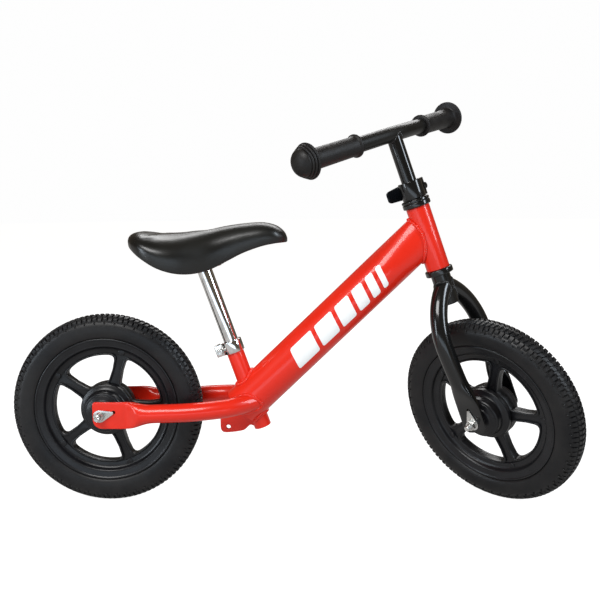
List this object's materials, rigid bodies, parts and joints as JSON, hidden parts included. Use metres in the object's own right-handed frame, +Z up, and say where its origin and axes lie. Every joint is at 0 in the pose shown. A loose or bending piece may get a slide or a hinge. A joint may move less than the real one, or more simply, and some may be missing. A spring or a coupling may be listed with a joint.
{
  "type": "balance bike",
  "caption": "Child's pedal-free balance bike: red step-through frame, black fork, spoked 12-inch wheels with foam tyres, sliding saddle and T-shaped handlebar with a quick-release clamp.",
  "frame": {"origin": "bottom centre of the whole bike's box, on the ground the tyres stand on", "axes": "+X ahead (the way the bike rolls), +Y to the rider's left, +Z up"},
  "size_m": [0.8412, 0.2818, 0.6112],
  "materials": {
    "red_paint": "gloss",
    "black_paint": "gloss",
    "chrome": "polished",
    "zinc": "satin",
    "foam": "matte",
    "moulding": "satin",
    "rubber": "matte",
    "vinyl": "gloss",
    "seat_base": "satin"
  },
  "bodies": {
    "frame": {"main_tube": "red_paint", "head_tube": "red_paint", "seat_tube": "red_paint", "chainstay_right": "red_paint", "chainstay_left": "red_paint", "stand_bracket": "red_paint", "lower_cup": "black_paint", "upper_cup": "black_paint", "lower_bearing": "zinc", "upper_bearing": "zinc", "seat_clamp_band": "chrome", "seat_clamp_bolt": "zinc", "seat_clamp_nut": "zinc", "rear_axle": "zinc", "rear_hub_spacer": "zinc", "rear_cone_nut_right": "zinc", "rear_cone_nut_left": "zinc", "rear_axle_nut_right": "zinc", "rear_axle_nut_left": "zinc", "rear_safety_washer_right": "zinc", "rear_safety_washer_left": "zinc"},
    "fork": {"steerer_tube": "black_paint", "fork_blade_right": "black_paint", "fork_blade_left": "black_paint", "crown_race": "black_paint", "headset_lock_nut": "black_paint", "bar_clamp_band": "black_paint", "bar_clamp_bolt": "black_paint", "bar_clamp_nut": "black_paint", "lever_pivot_pin": "zinc", "front_axle": "zinc", "front_hub_spacer": "zinc", "front_cone_nut_right": "zinc", "front_cone_nut_left": "zinc", "front_axle_nut_right": "zinc", "front_axle_nut_left": "zinc", "front_safety_washer_right": "zinc", "front_safety_washer_left": "zinc"},
    "handlebar": {"handlebar_tube": "black_paint", "stem_tube": "black_paint", "grip_right": "rubber", "grip_left": "rubber"},
    "lever": {"bar_clamp_lever": "black_paint"},
    "front_wheel_set": {"front_tyre": "foam", "front_wheel": "moulding", "front_bearing_right": "zinc", "front_bearing_left": "zinc"},
    "rear_wheel_set": {"rear_tyre": "foam", "rear_wheel": "moulding", "rear_bearing_right": "zinc", "rear_bearing_left": "zinc"},
    "seat": {"seat_post": "chrome", "saddle_plate": "zinc", "saddle_base": "seat_base", "saddle_cushion": "vinyl", "saddle_screw_1": "zinc", "saddle_screw_2": "zinc", "saddle_screw_3": "zinc", "saddle_screw_4": "zinc"}
  },
  "joints": [
    {"name": "steering", "type": "hinge", "parent": "frame", "child": "fork", "pos_m": [0.30093, -0.01125, 0.14005], "axis": [-0.3308, 0, 0.9437], "continuous": true},
    {"name": "handlebar_height", "type": "slide", "parent": "fork", "child": "handlebar", "axis": [-0.3308, 0, 0.9437], "range_m": [-0.045, 0.045]},
    {"name": "clamp_lever", "type": "hinge", "parent": "fork", "child": "lever", "pos_m": [0.19105, 0.01247, 0.47347], "axis": [-0.3308, 0, 0.9437], "range_deg": [-150, 0]},
    {"name": "front_wheel_spin", "type": "hinge", "parent": "fork", "child": "front_wheel_set", "pos_m": [0.30603, -0.0166, 0.14184], "axis": [0.6645, 0.7101, 0.233], "continuous": true},
    {"name": "rear_wheel_spin", "type": "hinge", "parent": "frame", "child": "rear_wheel_set", "pos_m": [-0.27564, -0.01125, 0.145], "axis": [0, 1, 0], "continuous": true},
    {"name": "seat_post_height", "type": "slide", "parent": "frame", "child": "seat", "axis": [-0.3289, 0, 0.9444], "range_m": [-0.06, 0.03]}
  ]
}
